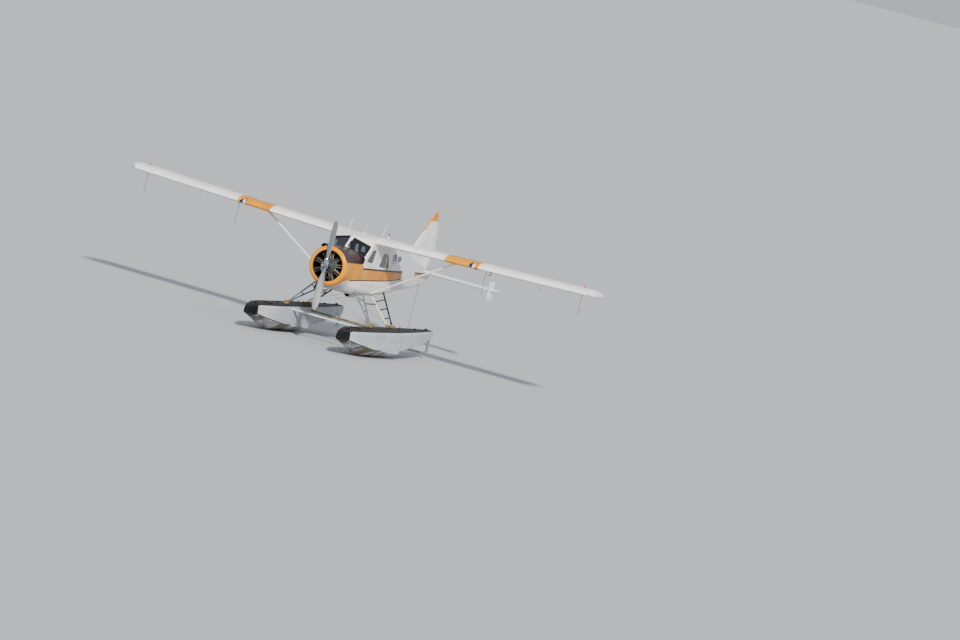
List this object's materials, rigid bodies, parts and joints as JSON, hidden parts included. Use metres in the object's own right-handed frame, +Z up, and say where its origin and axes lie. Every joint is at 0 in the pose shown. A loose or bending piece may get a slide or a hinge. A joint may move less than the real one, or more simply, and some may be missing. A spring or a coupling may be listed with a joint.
{
  "type": "floatplane with radial engine",
  "caption": "High-wing utility floatplane with a radial engine, strut-braced wing, hinged cabin doors, flaps, ailerons, tail surfaces and water rudders.",
  "frame": {"origin": "on the floor under the middle of the machine, where the float keels rest", "axes": "+X to port along the wing, +Y aft, +Z up"},
  "size_m": [14.63, 10.44, 4.13],
  "materials": {
    "white_paint": "gloss white paint on sheet aluminium",
    "orange_paint": "gloss orange paint on sheet aluminium",
    "maroon_paint": "matt dark maroon paint on sheet aluminium",
    "scoop_white": "white painted moulding",
    "scoop_maroon": "dark painted moulding",
    "float_grey": "pale grey-blue paint on sheet aluminium, worn",
    "strut_grey": "grey paint, worn",
    "bare_metal": "bare, brushed",
    "engine_metal": "dark cast and machined metal",
    "black_rubber": "black rubber",
    "glazing": "clear window",
    "cabin_grey": "dark grey crackle paint",
    "seat_cover": "dark red seat cover",
    "rope": "weathered brown mooring rope"
  },
  "bodies": {
    "airframe": {"cowling": "orange_paint", "engine": "engine_metal", "chin_scoop": "scoop_white", "side_scoop": "scoop_maroon", "nose_deck": "maroon_paint", "cabin_floor": "white_paint", "cabin_roof": "white_paint", "windscreen_frame": "white_paint", "rear_fuselage": "white_paint", "instrument_panel": "cabin_grey", "control_column": "cabin_grey", "crew_seat_port": "seat_cover", "crew_seat_starboard": "seat_cover", "bench_seat": "seat_cover", "fin": "white_paint", "tailplane": "white_paint", "front_spreader": "bare_metal", "rear_spreader": "strut_grey", "cabin_side_port": "white_paint", "cabin_side_starboard": "white_paint", "rear_glass_port": "glazing", "rear_glass_starboard": "glazing", "windscreen_port": "glazing", "windscreen_starboard": "glazing", "wing_port": "white_paint", "wing_starboard": "white_paint", "wing_strut_port": "white_paint", "wing_strut_starboard": "white_paint", "finlet_port": "white_paint", "finlet_starboard": "white_paint", "float_port": "float_grey", "float_starboard": "float_grey", "bow_bumper_port": "black_rubber", "bow_bumper_starboard": "black_rubber", "front_struts_port": "strut_grey", "front_struts_starboard": "strut_grey", "rear_struts_port": "strut_grey", "rear_struts_starboard": "strut_grey", "band_rope_port": "rope", "band_rope_starboard": "rope", "tip_rope_port": "rope", "tip_rope_starboard": "rope", "tail_rope": "rope"},
    "propeller": {"propeller": "bare_metal"},
    "crew_door_port": {"crew_door_port": "white_paint", "crew_door_glass_port": "glazing"},
    "crew_door_starboard": {"crew_door_starboard": "white_paint", "crew_door_glass_starboard": "glazing"},
    "cabin_door_port": {"cabin_door_port": "white_paint", "cabin_door_glass_port": "glazing"},
    "cabin_door_starboard": {"cabin_door_starboard": "white_paint", "cabin_door_glass_starboard": "glazing"},
    "flap_port": {"flap_port": "white_paint"},
    "flap_starboard": {"flap_starboard": "white_paint"},
    "aileron_port": {"aileron_port": "white_paint"},
    "aileron_starboard": {"aileron_starboard": "white_paint"},
    "elevator": {"elevator": "white_paint"},
    "rudder": {"rudder": "white_paint"},
    "water_rudder_port": {"water_rudder_port": "float_grey"},
    "water_rudder_starboard": {"water_rudder_starboard": "float_grey"}
  },
  "joints": [
    {"name": "propeller_spin", "type": "hinge", "parent": "airframe", "child": "propeller", "pos_m": [0, -3.75, 2.25], "axis": [0, -1, 0], "continuous": true},
    {"name": "crew_door_port_hinge", "type": "hinge", "parent": "airframe", "child": "crew_door_port", "pos_m": [0.636, -2.22, 2.2], "axis": [0, 0, -1], "range_deg": [0, 70]},
    {"name": "crew_door_starboard_hinge", "type": "hinge", "parent": "airframe", "child": "crew_door_starboard", "pos_m": [-0.636, -2.22, 2.2], "axis": [0, 0, 1], "range_deg": [0, 70]},
    {"name": "cabin_door_port_hinge", "type": "hinge", "parent": "airframe", "child": "cabin_door_port", "pos_m": [0.636, -1.09, 2.2], "axis": [0, 0, -1], "range_deg": [0, 70]},
    {"name": "cabin_door_starboard_hinge", "type": "hinge", "parent": "airframe", "child": "cabin_door_starboard", "pos_m": [-0.636, -1.09, 2.2], "axis": [0, 0, 1], "range_deg": [0, 70]},
    {"name": "flap_port_hinge", "type": "hinge", "parent": "airframe", "child": "flap_port", "pos_m": [2.4, -0.59, 3.22078], "axis": [-0.9995, 0, -0.0328], "range_deg": [0, 45]},
    {"name": "flap_starboard_hinge", "type": "hinge", "parent": "airframe", "child": "flap_starboard", "pos_m": [-2.4, -0.59, 3.22078], "axis": [-0.9995, 0, 0.0328], "range_deg": [0, 45]},
    {"name": "aileron_port_hinge", "type": "hinge", "parent": "airframe", "child": "aileron_port", "pos_m": [5.5, -0.59, 3.32253], "axis": [-0.9995, 0, -0.0328], "range_deg": [-20, 20]},
    {"name": "aileron_starboard_hinge", "type": "hinge", "parent": "airframe", "child": "aileron_starboard", "pos_m": [-5.5, -0.59, 3.32253], "axis": [-0.9995, 0, 0.0328], "range_deg": [-20, 20]},
    {"name": "elevator_hinge", "type": "hinge", "parent": "airframe", "child": "elevator", "pos_m": [0, 4.82, 2.35], "axis": [1, 0, 0], "range_deg": [-20, 28]},
    {"name": "rudder_hinge", "type": "hinge", "parent": "airframe", "child": "rudder", "pos_m": [0, 4.66, 3.2], "axis": [0, 0, 1], "range_deg": [-25, 25]},
    {"name": "water_rudder_port_hinge", "type": "hinge", "parent": "airframe", "child": "water_rudder_port", "pos_m": [1.43, 2.43, 0.745], "axis": [0, 0, 1], "range_deg": [-30, 30]},
    {"name": "water_rudder_starboard_hinge", "type": "hinge", "parent": "airframe", "child": "water_rudder_starboard", "pos_m": [-1.43, 2.43, 0.745], "axis": [0, 0, 1], "range_deg": [-30, 30]}
  ],
  "couplings": [
    {"joint": "flap_starboard_hinge", "follows": "flap_port_hinge", "ratio": 1},
    {"joint": "aileron_starboard_hinge", "follows": "aileron_port_hinge", "ratio": -1},
    {"joint": "water_rudder_port_hinge", "follows": "rudder_hinge", "ratio": 1.2},
    {"joint": "water_rudder_starboard_hinge", "follows": "rudder_hinge", "ratio": 1.2}
  ]
}
